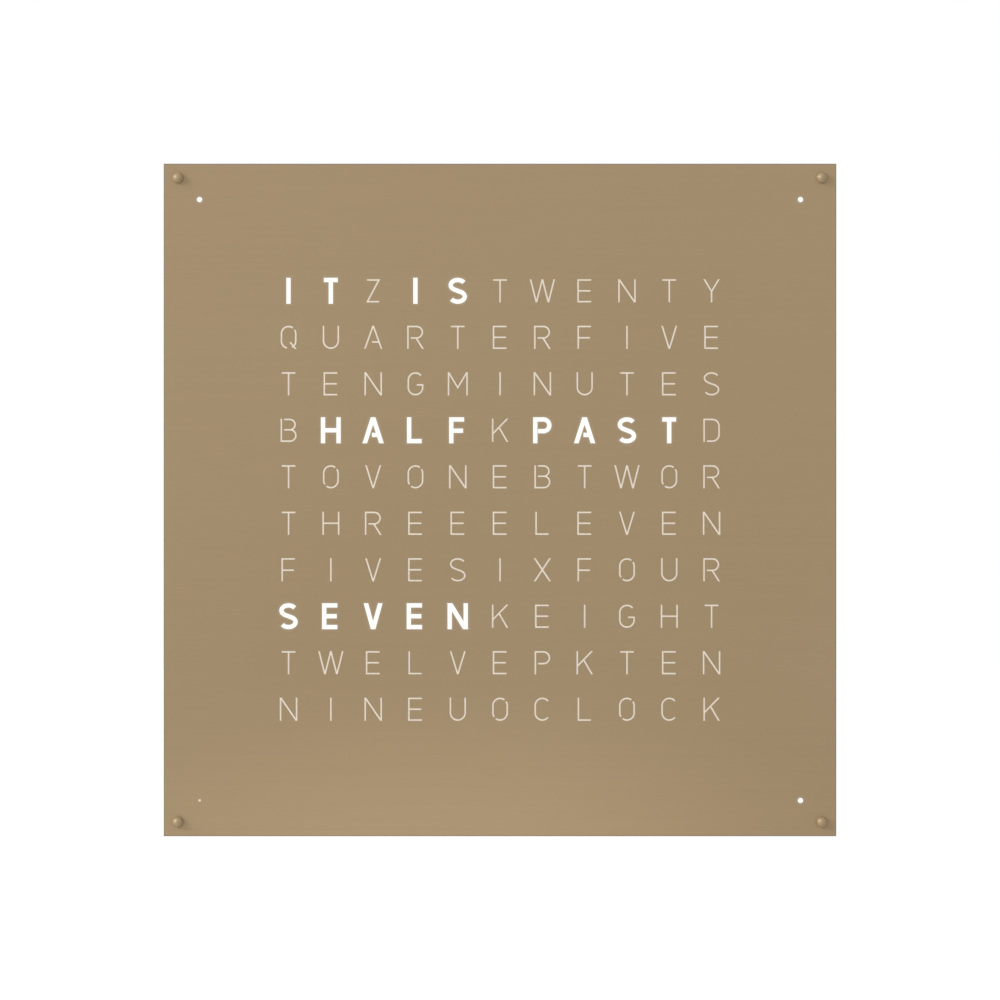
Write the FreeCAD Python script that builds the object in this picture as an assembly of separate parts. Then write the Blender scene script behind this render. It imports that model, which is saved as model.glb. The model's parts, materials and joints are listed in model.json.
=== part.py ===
"""A square wall clock that tells the time with lit letters, built as its separate pieces.

Millimetres. +Z is up, the clock faces -Y, and the origin is the middle of the back, where the wall is.
Depth is counted forward from the wall, so a depth of 20 is at y = -20.
"""
import FreeCAD
import Part

import math
import os

from FreeCAD import Vector

# Front cover: a sheet that stands a little past the frame on every side
cover_side = 450.0
cover_thickness = 2.0
cover_edge_chamfer = 0.4
cover_reveal = 1.0

# Layers between the wall and the cover
housing_depth = 18.0
rear_panel_thickness = 1.5
rear_bay_depth = 6.5
chassis_thickness = 1.2
diffuser_thickness = 1.0

# Frame rails: one outer wall with two ledges and a groove for the chassis plate
rail_wall = 2.5
ledge_reach = 4.0
ledge_thickness = 1.5
groove_rib_reach = 3.0
groove_rib_thickness = 1.2
groove_clearance = 0.1
sheet_clearance = 0.2

# Corner blocks, which join the rails and hold the sockets
block_leg = 19.0
block_flank = 6.0
block_clearance = 0.3

# Light baffle: one open cell behind each letter, and four ears with tabs that locate it
grid_columns = 11
grid_rows = 10
column_pitch = 28.3
row_pitch = 31.1
cell_wall = 1.2
ear_reach = 8.0
ear_width = 9.0
ear_thickness = 2.4
ear_offset = 100.0
tab_width = 6.0
tab_thickness = 2.0

# Light boards, one for each row of letters, and their lamps
row_board_thickness = 1.0
row_board_gap = 0.2
row_board_tail = 12.0
lamp_side = 5.0
lamp_height = 1.5
sensor_side = 2.6
sensor_height = 1.1
sensor_gap = 1.3
sensor_column = 6
sensor_row = 8

# Ribbon cable that joins every light board to the control board
ribbon_width = 8.0
ribbon_thickness = 0.8
ribbon_ramp = 6.0
ribbon_lift = 0.2

# Minute lights near the four corners, each in its own small cell
minute_light_inset = 24.0
minute_hole_radius = 0.9
minute_cell_side = 12.0
minute_cell_wall = 1.4
minute_board_side = 8.0
minute_lead_width = 2.4
minute_lead_thickness = 0.8

# Ball-headed studs that hold the cover, and the sockets and magnets that they plug into
stud_inset = 9.6
stud_head_radius = 3.7
stud_head_height = 4.6
stud_shank_radius = 2.0
stud_tip_gap = 0.2
stud_running_clearance = 0.05
socket_wall = 1.5
socket_length = 6.0
magnet_thickness = 3.0
seat_clearance = 0.02

# Countersunk screws of the rear panel
screw_radius = 1.4
screw_head_radius = 2.8
screw_length = 5.5
screw_tip_gap = 0.5
thread_clearance = 0.05

# Wall hangers: a keyhole plate in a shallow tray behind a window of the rear panel
hanger_offset = 150.0
hanger_height = 150.0
hanger_width = 30.0
hanger_length = 34.0
hanger_thickness = 1.2
keyhole_entry_radius = 4.6
keyhole_slot_radius = 2.3
keyhole_slot_length = 11.0
window_margin = 2.2
tray_wall = 1.0
tray_height = 1.8

# Pocket in the back for the power plug, and the notch where its lead leaves
pocket_width = 16.0
pocket_height = 44.0
pocket_wall = 1.2
notch_width = 7.0
notch_depth = 5.5

# Power inlet: a flat socket with a tongue, on its own small board
inlet_depth = 3.4
inlet_width = 8.94
inlet_height = 3.26
inlet_length = 7.35
inlet_wall = 0.3
inlet_mouth_proud = 0.6
inlet_hole_clearance = 0.2
tongue_width = 6.6
tongue_thickness = 0.7
tongue_length = 5.0
inlet_board_width = 15.0
inlet_board_length = 16.0
inlet_board_thickness = 1.2
inlet_spacer_spread = 3.75
inlet_spacer_inset = 3.2

# Flat lead from the inlet to the control board, and its grommet in the chassis plate
lead_width = 3.0
lead_thickness = 1.0
lead_start = 4.0
lead_inset = 4.6
lead_drop = 6.8
lead_gap = 6.0
lead_lift = 0.8
lead_clearance = 0.1
grommet_wall = 1.0
grommet_lip_reach = 0.8
grommet_lip_thickness = 0.6

# Control board and what stands on it
board_left = 30.0
board_thickness = 1.2
board_standoff = 0.8
board_edge_gap = 0.6
spacer_radius = 2.6
spacer_inset = 6.0
connector_width = 7.0
connector_length = 6.0
connector_height = 3.2
connector_inset = 1.0
controller_place = 32.0
controller_side = 12.0
controller_height = 1.6
crystal_place = 52.0
crystal_width = 8.0
crystal_length = 3.6
crystal_height = 2.6
driver_place = 112.0
driver_width = 10.0
driver_length = 6.0
driver_height = 1.75
holder_place = 82.0
holder_wall = 1.2
holder_floor = 0.6
holder_lip = 1.6
holder_clearance = 0.05
cell_radius = 10.0
cell_thickness = 3.2

# Setting buttons along the lower edge, and the switches behind them
button_names = ("hour", "minute", "brightness")
button_first = 60.0
button_pitch = 14.0
button_width = 6.0
button_height = 2.4
button_chamfer = 0.3
button_clearance = 0.1
button_proud = 0.8
button_travel = 0.5
collar_width = 8.0
collar_height = 3.5
collar_thickness = 1.0
switch_width = 6.2
switch_length = 3.6
switch_height = 3.5
switch_clearance = 0.1
plunger_width = 2.6
plunger_height = 1.4
plunger_proud = 0.8
plunger_sunk = 1.0

# Places that follow from the sizes above
frame_half = cover_side / 2 - cover_reveal
inner_half = frame_half - rail_wall
sheet_half = inner_half - sheet_clearance
chassis_rear = rear_panel_thickness + rear_bay_depth
chassis_front = chassis_rear + chassis_thickness
row_board_front = chassis_front + row_board_thickness
diffuser_rear = housing_depth - diffuser_thickness
cover_front = housing_depth + cover_thickness
stud_place = cover_side / 2 - stud_inset
minute_place = cover_side / 2 - minute_light_inset
baffle_half_width = (grid_columns * column_pitch + cell_wall) / 2
baffle_half_height = (grid_rows * row_pitch + cell_wall) / 2
row_board_half = baffle_half_width + row_board_tail
ribbon_place = baffle_half_width + row_board_tail / 2
socket_side = 2 * (stud_shank_radius + stud_running_clearance + socket_wall)
socket_floor = housing_depth - socket_length
pocket_top = -inner_half + pocket_height
pocket_end = pocket_top + pocket_wall
board_rear = chassis_front + board_standoff
board_front = board_rear + board_thickness
board_low = -inner_half + groove_rib_reach + board_edge_gap
board_high = -baffle_half_height - ear_reach - board_edge_gap
board_middle = (board_low + board_high) / 2
board_right = ribbon_place + ribbon_width / 2 + board_edge_gap
inlet_board_low = pocket_end + sheet_clearance
inlet_board_rear = inlet_depth + inlet_height / 2
inlet_board_front = inlet_board_rear + inlet_board_thickness
lead_height = board_high - lead_drop
lead_place = board_left - lead_gap
button_depth = board_front + switch_height / 2
corners = ((-1, 1), (1, 1), (-1, -1), (1, -1))


def around(middle, width):
    """The two ends of a width centred on a place."""
    return middle - width / 2, middle + width / 2


def block(x_range, z_range, depth_range):
    """A box between two X values, two Z values and two depths."""
    (x0, x1), (z0, z1), (near, far) = x_range, z_range, depth_range
    return Part.makeBox(x1 - x0, far - near, z1 - z0, Vector(x0, -far, z0))


def bar(x, z, radius, depth_range):
    """A round bar that runs straight out from the wall."""
    near, far = depth_range
    return Part.makeCylinder(radius, far - near, Vector(x, -far, z), Vector(0, 1, 0))


def extruded(outline, direction):
    """A closed outline of straight edges, drawn out along a direction."""
    return Part.Face(Part.makePolygon(outline + outline[:1])).extrude(direction)


def prism(points, depth_range):
    """An outline of X and Z points, as thick as its two depths."""
    near, far = depth_range
    return extruded([Vector(x, -near, z) for x, z in points], Vector(0, near - far, 0))


def column_place(column):
    """The X of a column of letters, counted from the left."""
    return (column - (grid_columns - 1) / 2) * column_pitch


def row_place(row):
    """The Z of a row of letters, counted from the top."""
    return ((grid_rows - 1) / 2 - row) * row_pitch


def every_corner(make, place):
    """The same piece at one distance from the middle in all four corners."""
    return Part.makeCompound([make(sx * place, sz * place) for sx, sz in corners])


def front_cover():
    """The cover sheet, with its chamfered front edge, four stud holes and four minute holes."""
    half = cover_side / 2
    depths = (housing_depth, cover_front)
    sheet = block((-half, half), (-half, half), depths)
    front = min(sheet.Faces, key=lambda face: face.CenterOfMass.y)
    sheet = sheet.makeChamfer(cover_edge_chamfer, front.Edges)
    for sx, sz in corners:
        sheet = sheet.cut(bar(sx * stud_place, sz * stud_place, stud_shank_radius + seat_clearance, depths))
        sheet = sheet.cut(bar(sx * minute_place, sz * minute_place, minute_hole_radius, depths))
    return sheet


def cover_stud(x, z):
    """A stud whose head is a ball, cut flat where it lies on the cover."""
    ball_height = stud_head_height - stud_head_radius
    flat_angle = -math.degrees(math.asin(ball_height / stud_head_radius))
    ball_centre = Vector(x, -(cover_front + ball_height), z)
    head = Part.makeSphere(stud_head_radius, ball_centre, Vector(0, -1, 0), flat_angle, 90, 360)
    shank = bar(x, z, stud_shank_radius, (socket_floor + stud_tip_gap, cover_front))
    return head.fuse(shank).removeSplitter()


def stud_socket(x, z):
    """The square sleeve with a round bore that a stud plugs into."""
    depths = (socket_floor, housing_depth)
    sleeve = block(around(x, socket_side), around(z, socket_side), depths)
    return sleeve.cut(bar(x, z, stud_shank_radius + stud_running_clearance, depths))


def socket_magnet(x, z):
    """The block magnet under a socket."""
    depths = (socket_floor - magnet_thickness, socket_floor)
    return block(around(x, socket_side), around(z, socket_side), depths)


def corner_block(sx, sz):
    """A gusset with a pocket in front for a socket and magnet, and a screw hole in its back."""
    near_leg = inner_half - block_leg
    near_flank = inner_half - block_flank
    outline = [
        (inner_half, inner_half),
        (near_leg, inner_half),
        (near_leg, near_flank),
        (near_flank, near_leg),
        (inner_half, near_leg),
    ]
    piece = prism([(sx * x, sz * z) for x, z in outline], (rear_panel_thickness, housing_depth))
    x, z = sx * stud_place, sz * stud_place
    side = socket_side + 2 * seat_clearance
    pocket = block(around(x, side), around(z, side), (socket_floor - magnet_thickness, housing_depth))
    bore_depths = (rear_panel_thickness, screw_length + screw_tip_gap)
    return piece.cut([pocket, bar(x, z, screw_radius + thread_clearance, bore_depths)])


def rear_screw(x, z, grow=0.0):
    """A flush countersunk screw from the back, or with grow the hole that it leaves in the panel."""
    head = Part.makeCone(
        screw_head_radius + grow, screw_radius + grow, rear_panel_thickness, Vector(x, 0, z), Vector(0, -1, 0)
    )
    return head.fuse(bar(x, z, screw_radius + grow, (rear_panel_thickness, screw_length)))


def frame_rail(quarter_turns):
    """One mitred rail: its outer wall, two ledges and the two ribs of the chassis groove."""
    mitred = [
        (-frame_half, frame_half),
        (frame_half, frame_half),
        (inner_half, inner_half),
        (-inner_half, inner_half),
    ]
    groove_front = chassis_front + groove_clearance
    steps = (
        (ledge_reach, rear_panel_thickness, rear_panel_thickness + ledge_thickness),
        (groove_rib_reach, chassis_rear - groove_rib_thickness, chassis_rear),
        (groove_rib_reach, groove_front, groove_front + groove_rib_thickness),
        (ledge_reach, diffuser_rear - ledge_thickness, diffuser_rear),
    )
    half_length = inner_half - block_leg - block_clearance
    teeth = [
        block((-half_length, half_length), (inner_half - reach, inner_half), (near, far))
        for reach, near, far in steps
    ]
    rail = prism(mitred, (0, housing_depth)).fuse(teeth).removeSplitter()
    rail.rotate(Vector(0, 0, 0), Vector(0, 1, 0), 90 * quarter_turns)
    return rail


def button_places():
    """The X place of each setting button."""
    return [button_first + button_pitch * i for i in range(len(button_names))]


def bottom_rail():
    """The lower rail, with room for the plug pocket, its lead and the buttons with their collars."""
    pocket_room = pocket_width + 2 * pocket_wall + 2 * sheet_clearance
    openings = [
        block(around(0, pocket_room), (-inner_half, -inner_half + ledge_reach), (0, chassis_rear)),
        block(around(0, notch_width), (-frame_half, -inner_half), (0, notch_depth)),
    ]
    width = button_width + 2 * button_clearance
    height = button_height + 2 * button_clearance
    collar_room = collar_width + 2 * sheet_clearance
    ledge_depths = (diffuser_rear - ledge_thickness, diffuser_rear)
    for x in button_places():
        openings.append(block(around(x, width), (-frame_half, -inner_half), around(button_depth, height)))
        openings.append(block(around(x, collar_room), (-inner_half, -inner_half + ledge_reach), ledge_depths))
    return frame_rail(2).cut(openings)


def clipped_sheet(depth_range):
    """A square sheet whose corners stay clear of the corner blocks."""
    diagonal = 2 * inner_half - block_leg - block_flank - math.sqrt(2) * block_clearance
    short = diagonal - sheet_half
    outline = []
    for sx, sz in ((1, 1), (-1, 1), (-1, -1), (1, -1)):
        ends = [(sx * sheet_half, sz * short), (sx * short, sz * sheet_half)]
        outline += ends if sx == sz else ends[::-1]
    return prism(outline, depth_range)


def keyhole(x, depth_range):
    """A round entry hole with a narrower slot above it, as a solid to cut with."""
    low, high = around(hanger_height, keyhole_slot_length)
    entry = bar(x, low, keyhole_entry_radius, depth_range)
    slot = block(around(x, 2 * keyhole_slot_radius), (low, high), depth_range)
    return entry.fuse([slot, bar(x, high, keyhole_slot_radius, depth_range)])


def wall_hanger(x):
    """A steel plate with the keyhole that a wall screw's head goes through."""
    depths = (rear_panel_thickness, rear_panel_thickness + hanger_thickness)
    plate = block(around(x, hanger_width), around(hanger_height, hanger_length), depths)
    return plate.cut(keyhole(x, depths)).removeSplitter()


def hanger_tray(x):
    """The raised rim on the rear panel that a hanger plate lies in."""
    width = hanger_width + 2 * sheet_clearance
    length = hanger_length + 2 * sheet_clearance
    depths = (rear_panel_thickness, rear_panel_thickness + tray_height)
    rim = block(around(x, width + 2 * tray_wall), around(hanger_height, length + 2 * tray_wall), depths)
    return rim.cut(block(around(x, width), around(hanger_height, length), depths))


def hanger_window(x):
    """The opening of the rear panel over one keyhole."""
    low, high = around(hanger_height, keyhole_slot_length)
    z_range = (low - keyhole_entry_radius - window_margin, high + keyhole_slot_radius + window_margin)
    width = 2 * (keyhole_entry_radius + window_margin)
    return block(around(x, width), z_range, (0, rear_panel_thickness))


def inlet_outline(width, height, z_range):
    """A flat body with round sides, running along Z."""
    z0, z1 = z_range
    reach = (width - height) / 2
    body = Part.makeBox(2 * reach, height, z1 - z0, Vector(-reach, -inlet_depth - height / 2, z0))
    sides = [Part.makeCylinder(height / 2, z1 - z0, Vector(x, -inlet_depth, z0)) for x in (-reach, reach)]
    return body.fuse(sides).removeSplitter()


def power_inlet():
    """The socket's thin shell, closed at its inner end, with the tongue that carries the contacts."""
    mouth = pocket_top - inlet_mouth_proud
    back = mouth + inlet_length
    inner_back = back - inlet_wall
    shell = inlet_outline(inlet_width, inlet_height, (mouth, back))
    shell = shell.cut(
        inlet_outline(inlet_width - 2 * inlet_wall, inlet_height - 2 * inlet_wall, (mouth, inner_back))
    )
    tongue_ends = (inner_back - tongue_length, inner_back)
    return shell.fuse(block(around(0, tongue_width), tongue_ends, around(inlet_depth, tongue_thickness)))


def rear_panel():
    """The moulded back: a flat panel with the plug pocket, the hanger trays and the screw holes."""
    panel = block((-sheet_half, sheet_half), (-sheet_half, sheet_half), (0, rear_panel_thickness))
    outer_width = pocket_width + 2 * pocket_wall
    raised = [block(around(0, outer_width), (-sheet_half, pocket_end), (0, chassis_rear))]
    openings = [block(around(0, pocket_width), (-sheet_half, pocket_top), (0, chassis_rear))]
    slack = 2 * inlet_hole_clearance
    openings.append(inlet_outline(inlet_width + slack, inlet_height + slack, (pocket_top, pocket_end)))
    for x in (-hanger_offset, hanger_offset):
        raised.append(hanger_tray(x))
        openings.append(hanger_window(x))
    for sx, sz in corners:
        openings.append(rear_screw(sx * stud_place, sz * stud_place, thread_clearance))
    return panel.fuse(raised).cut(openings).removeSplitter()


def inlet_board():
    """The board that the power inlet is soldered to."""
    z_range = (inlet_board_low, inlet_board_low + inlet_board_length)
    return block(around(0, inlet_board_width), z_range, (inlet_board_rear, inlet_board_front))


def ear_places():
    """The X, the side and the middle Z of the baffle's ears."""
    middle = baffle_half_height + ear_reach / 2
    return [(sx * ear_offset, sz * middle) for sx, sz in corners]


def baffle_tab(x, z, grow=0.0):
    """The tab that locates an ear in the chassis plate, or with grow its slot."""
    depths = (chassis_rear, chassis_front)
    return block(around(x, tab_width + 2 * grow), around(z, tab_thickness + 2 * grow), depths)


def light_baffle():
    """The moulded grid of light cells, with its ears and their tabs."""
    depths = (row_board_front, diffuser_rear)
    grid = block(around(0, 2 * baffle_half_width), around(0, 2 * baffle_half_height), depths)
    cells = [
        block(
            around(column_place(column), column_pitch - cell_wall),
            around(row_place(row), row_pitch - cell_wall),
            depths,
        )
        for row in range(grid_rows)
        for column in range(grid_columns)
    ]
    grid = grid.cut(Part.makeCompound(cells))
    ears = []
    for x, z in ear_places():
        ear_depths = (chassis_front, chassis_front + ear_thickness)
        ears.append(block(around(x, ear_width), around(z, ear_reach), ear_depths))
        ears.append(baffle_tab(x, z))
    return grid.fuse(ears).removeSplitter()


def chassis_plate():
    """The plate that carries the lights in front and the power inlet behind."""
    slots = [baffle_tab(x, z, sheet_clearance) for x, z in ear_places()]
    slots.append(around_lead(lead_clearance + grommet_wall + seat_clearance, (chassis_rear, chassis_front)))
    return clipped_sheet((chassis_rear, chassis_front)).cut(slots)


def around_lead(grow, depth_range):
    """A box about the part of the lead that goes through the chassis plate, or with no grow that part."""
    x_range = (lead_place - grow, lead_place + lead_thickness + grow)
    return block(x_range, around(lead_height, lead_width + 2 * grow), depth_range)


def lead_grommet():
    """The rubber frame that keeps the lead off the edge of the plate, with a lip on each face."""
    body = lead_clearance + grommet_wall
    rear = chassis_rear - grommet_lip_thickness
    front = chassis_front + grommet_lip_thickness
    lips = [
        around_lead(body + grommet_lip_reach, (rear, chassis_rear)),
        around_lead(body + grommet_lip_reach, (chassis_front, front)),
    ]
    ring = around_lead(body, (rear, front)).fuse(lips).removeSplitter()
    return ring.cut(around_lead(lead_clearance, (rear, front)))


def power_lead():
    """The flat lead: over the inlet's board, along the plate, through the grommet, then to its connector."""
    rear_depths = (inlet_board_front, inlet_board_front + lead_thickness)
    front_depths = (board_front + lead_lift, board_front + lead_lift + lead_thickness)
    start_height = inlet_board_low + lead_inset
    right = lead_place + lead_thickness
    low, high = sorted((start_height, lead_height))
    runs = [
        block((right - lead_width, right), (low - lead_width / 2, high + lead_width / 2), rear_depths),
        around_lead(0, (rear_depths[0], front_depths[1])),
        block((lead_place, board_left), around(lead_height, lead_width), front_depths),
    ]
    across = block((lead_start, right), around(start_height, lead_width), rear_depths)
    return across.fuse(runs).removeSplitter()


def row_board(row):
    """The board behind one row of letters. Its tails reach past the baffle on both sides."""
    x_range = (-row_board_half, row_board_half)
    return block(x_range, around(row_place(row), row_pitch - row_board_gap), (chassis_front, row_board_front))


def row_lamps():
    """One lamp in the middle of every cell."""
    depths = (row_board_front, row_board_front + lamp_height)
    return [
        block(around(column_place(column), lamp_side), around(row_place(row), lamp_side), depths)
        for row in range(grid_rows)
        for column in range(grid_columns)
    ]


def light_sensor():
    """The brightness sensor, which looks out through a letter that never lights."""
    x = column_place(sensor_column) + (lamp_side + sensor_side) / 2 + sensor_gap
    depths = (row_board_front, row_board_front + sensor_height)
    return block(around(x, sensor_side), around(row_place(sensor_row), sensor_side), depths)


def ribbon_cable():
    """The flat cable: down over the boards' tails, then up a ramp and onto the control board."""
    top = row_place(0) + row_pitch / 2
    ramp_top = board_high + ribbon_ramp
    bottom = board_high - connector_inset
    lifted = board_front + ribbon_lift
    path = [
        (top, row_board_front),
        (ramp_top, row_board_front),
        (board_high, lifted),
        (bottom, lifted),
        (bottom, lifted + ribbon_thickness),
        (board_high, lifted + ribbon_thickness),
        (ramp_top, row_board_front + ribbon_thickness),
        (top, row_board_front + ribbon_thickness),
    ]
    left = ribbon_place - ribbon_width / 2
    return extruded([Vector(left, -depth, z) for z, depth in path], Vector(ribbon_width, 0, 0))


def board_connectors():
    """The two connectors on the control board: the power lead's and the ribbon's."""
    depths = (board_front, board_front + connector_height)
    power = block((board_left, board_left + connector_length), around(lead_height, connector_width), depths)
    top = board_high - connector_inset
    signal_width = ribbon_width + 2 * board_edge_gap
    signal = block(around(ribbon_place, signal_width), (top - connector_length, top), depths)
    return Part.makeCompound([power, signal])


def minute_cell(x, z):
    """The square screen about one minute light, notched on its inner side for the lead."""
    depths = (chassis_front, diffuser_rear)
    wall = 2 * minute_cell_wall
    cell = block(around(x, minute_cell_side), around(z, minute_cell_side), depths)
    cell = cell.cut(block(around(x, minute_cell_side - wall), around(z, minute_cell_side - wall), depths))
    inward = -math.copysign(minute_cell_side - minute_cell_wall, z) / 2
    notch_depths = (chassis_front, chassis_front + minute_lead_thickness + sheet_clearance)
    notch = block(
        around(x, minute_lead_width + 2 * sheet_clearance), around(z + inward, minute_cell_wall), notch_depths
    )
    return cell.cut(notch)


def minute_board(x, z):
    """The small board in a minute light's cell."""
    side = minute_board_side
    return block(around(x, side), around(z, side), (chassis_front, row_board_front))


def minute_lamp(x, z):
    """The lamp on a minute board."""
    depths = (row_board_front, row_board_front + lamp_height)
    return block(around(x, lamp_side), around(z, lamp_side), depths)


def minute_lead(x, z):
    """The flat lead from a minute board to the tail of the nearest light board."""
    sx, sz = math.copysign(1, x), math.copysign(1, z)
    half = minute_lead_width / 2
    board_edge = minute_place - minute_board_side / 2
    turn = row_place(0)
    path = [
        (minute_place - half, board_edge),
        (minute_place + half, board_edge),
        (minute_place + half, turn),
        (minute_place - half, turn - half),
        (row_board_half, turn - half),
        (row_board_half, turn + half),
        (minute_place - half, turn + half),
    ]
    outline = [(sx * px, sz * pz) for px, pz in path]
    return prism(outline, (chassis_front, chassis_front + minute_lead_thickness))


def control_board():
    """The board in the lower right of the housing, with the switches along its lower edge."""
    return block((board_left, board_right), (board_low, board_high), (board_rear, board_front))


def hex_spacer(x, z, depth_range):
    """A six-sided spacer."""
    angles = [math.radians(60 * i) for i in range(6)]
    points = [(x + spacer_radius * math.cos(a), z + spacer_radius * math.sin(a)) for a in angles]
    return prism(points, depth_range)


def board_spacers():
    """The four spacers under the control board and the two in front of the inlet's board."""
    z = inlet_board_low + inlet_board_length - inlet_spacer_inset
    xs = (-inlet_spacer_spread, inlet_spacer_spread)
    spacers = [hex_spacer(x, z, (inlet_board_front, chassis_rear)) for x in xs]
    for x in (board_left + spacer_inset, board_right - spacer_inset):
        for z in (board_low + spacer_inset, board_high - spacer_inset):
            spacers.append(hex_spacer(x, z, (chassis_front, board_rear)))
    return Part.makeCompound(spacers)


def on_board(place, width, length, height):
    """A flat component in the middle of the control board, at a distance from its left edge."""
    return block(
        around(board_left + place, width), around(board_middle, length), (board_front, board_front + height)
    )


def cell_holder():
    """The square cradle that holds the backup cell."""
    inside = 2 * (cell_radius + holder_clearance)
    outside = inside + 2 * holder_wall
    cradle = on_board(holder_place, outside, outside, holder_floor + holder_lip)
    well = on_board(holder_place, inside, inside, holder_floor + holder_lip)
    well.translate(Vector(0, -holder_floor, 0))
    return cradle.cut(well)


def backup_cell():
    """The coin cell that keeps the time when the plug is out."""
    near = board_front + holder_floor
    return bar(board_left + holder_place, board_middle, cell_radius, (near, near + cell_thickness))


def setting_button(x):
    """A push button: a flat key through the rail, kept in by a collar."""
    ends = (-frame_half - button_proud, board_low - plunger_proud)
    key = block(around(x, button_width), ends, around(button_depth, button_height))
    face = min(key.Faces, key=lambda side: side.CenterOfMass.z)
    key = key.makeChamfer(button_chamfer, face.Edges)
    collar_ends = (-inner_half, -inner_half + collar_thickness)
    return key.fuse(block(around(x, collar_width), collar_ends, around(button_depth, collar_height)))


def switch_plunger(x):
    """The plunger of a switch, which the button pushes."""
    z_range = (board_low - plunger_proud, board_low + plunger_sunk)
    return block(around(x, plunger_width), z_range, around(button_depth, plunger_height))


def switch_body(x):
    """The case of a switch at the board's lower edge, with the well that its plunger moves in."""
    depths = (board_front, board_front + switch_height)
    case = block(around(x, switch_width), (board_low, board_low + switch_length), depths)
    well_top = board_low + plunger_sunk + button_travel + switch_clearance
    slack = 2 * switch_clearance
    well = block(
        around(x, plunger_width + slack),
        (board_low, well_top),
        around(button_depth, plunger_height + slack),
    )
    return case.cut(well)


def all_parts():
    """Every sub-part under the name of its file."""
    parts = {
        "front_cover": front_cover(),
        "cover_studs": every_corner(cover_stud, stud_place),
        "stud_sockets": every_corner(stud_socket, stud_place),
        "socket_magnets": every_corner(socket_magnet, stud_place),
        "corner_blocks": Part.makeCompound([corner_block(sx, sz) for sx, sz in corners]),
        "rear_panel_screws": every_corner(rear_screw, stud_place),
        "frame_rail_top": frame_rail(0),
        "frame_rail_right": frame_rail(1),
        "frame_rail_bottom": bottom_rail(),
        "frame_rail_left": frame_rail(3),
        "rear_panel": rear_panel(),
        "wall_hanger_left": wall_hanger(-hanger_offset),
        "wall_hanger_right": wall_hanger(hanger_offset),
        "power_inlet": power_inlet(),
        "inlet_board": inlet_board(),
        "chassis_plate": chassis_plate(),
        "lead_grommet": lead_grommet(),
        "power_lead": power_lead(),
        "diffuser_sheet": clipped_sheet((diffuser_rear, housing_depth)),
        "light_baffle": light_baffle(),
        "row_lamps": Part.makeCompound(row_lamps()),
        "light_sensor": light_sensor(),
        "ribbon_cable": ribbon_cable(),
        "minute_cells": every_corner(minute_cell, minute_place),
        "minute_boards": every_corner(minute_board, minute_place),
        "minute_lamps": every_corner(minute_lamp, minute_place),
        "minute_leads": every_corner(minute_lead, minute_place),
        "control_board": control_board(),
        "board_spacers": board_spacers(),
        "board_connectors": board_connectors(),
        "microcontroller": on_board(controller_place, controller_side, controller_side, controller_height),
        "clock_crystal": on_board(crystal_place, crystal_width, crystal_length, crystal_height),
        "lamp_driver": on_board(driver_place, driver_width, driver_length, driver_height),
        "cell_holder": cell_holder(),
        "backup_cell": backup_cell(),
        "switch_bodies": Part.makeCompound([switch_body(x) for x in button_places()]),
    }
    for row in range(grid_rows):
        parts[f"row_board_{row + 1:02d}"] = row_board(row)
    for name, x in zip(button_names, button_places()):
        parts[name + "_button"] = setting_button(x)
        parts[name + "_plunger"] = switch_plunger(x)
    return parts


os.makedirs("parts", exist_ok=True)
for part_name, shape in all_parts().items():
    shape.exportStep(f"parts/{part_name}.step")
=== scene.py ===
# Looks of the word clock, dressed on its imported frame. Metres: +Z is up and the clock faces -Y.
import json
import math

import bpy
import numpy as np
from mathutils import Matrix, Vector
from mathutils.geometry import delaunay_2d_cdt


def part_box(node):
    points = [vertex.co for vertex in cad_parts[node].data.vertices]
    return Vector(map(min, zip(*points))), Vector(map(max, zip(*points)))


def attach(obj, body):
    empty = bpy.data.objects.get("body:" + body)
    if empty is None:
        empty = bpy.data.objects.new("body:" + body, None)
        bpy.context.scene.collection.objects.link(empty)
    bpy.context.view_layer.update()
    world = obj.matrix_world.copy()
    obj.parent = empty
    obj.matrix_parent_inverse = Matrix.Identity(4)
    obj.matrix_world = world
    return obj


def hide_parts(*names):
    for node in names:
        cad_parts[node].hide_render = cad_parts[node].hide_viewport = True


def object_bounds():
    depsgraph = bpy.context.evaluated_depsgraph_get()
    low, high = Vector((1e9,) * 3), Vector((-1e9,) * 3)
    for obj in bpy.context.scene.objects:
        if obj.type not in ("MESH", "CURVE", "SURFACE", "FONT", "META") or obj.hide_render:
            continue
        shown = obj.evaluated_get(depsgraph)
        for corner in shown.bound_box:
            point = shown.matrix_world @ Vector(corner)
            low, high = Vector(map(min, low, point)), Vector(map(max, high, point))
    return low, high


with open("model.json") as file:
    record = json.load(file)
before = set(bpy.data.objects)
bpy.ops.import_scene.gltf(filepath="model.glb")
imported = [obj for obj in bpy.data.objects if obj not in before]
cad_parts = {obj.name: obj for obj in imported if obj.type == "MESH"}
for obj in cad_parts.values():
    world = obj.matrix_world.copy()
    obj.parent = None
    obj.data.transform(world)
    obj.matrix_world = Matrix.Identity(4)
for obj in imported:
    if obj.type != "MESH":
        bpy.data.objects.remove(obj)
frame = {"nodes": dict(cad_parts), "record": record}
cad_low, cad_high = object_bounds()
nodes = frame["nodes"]

MM = 0.001
MICRON = MM / 1000

# Words on the cover, and the letters that are lit: row, first column and how many
letter_rows = (
    "ITZISTWENTY",
    "QUARTERFIVE",
    "TENGMINUTES",
    "BHALFKPASTD",
    "TOVONEBTWOR",
    "THREEELEVEN",
    "FIVESIXFOUR",
    "SEVENKEIGHT",
    "TWELVEPKTEN",
    "NINEUOCLOCK",
)
lit_words = ((0, 0, 2), (0, 3, 2), (3, 1, 4), (3, 6, 4), (7, 0, 5))
corners = ((-1, 1), (1, 1), (-1, -1), (1, -1))
square_ring = ((-1, -1), (1, -1), (1, 1), (-1, 1))
lit_corners = ((-1, 1), (1, 1), (1, -1))

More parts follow.
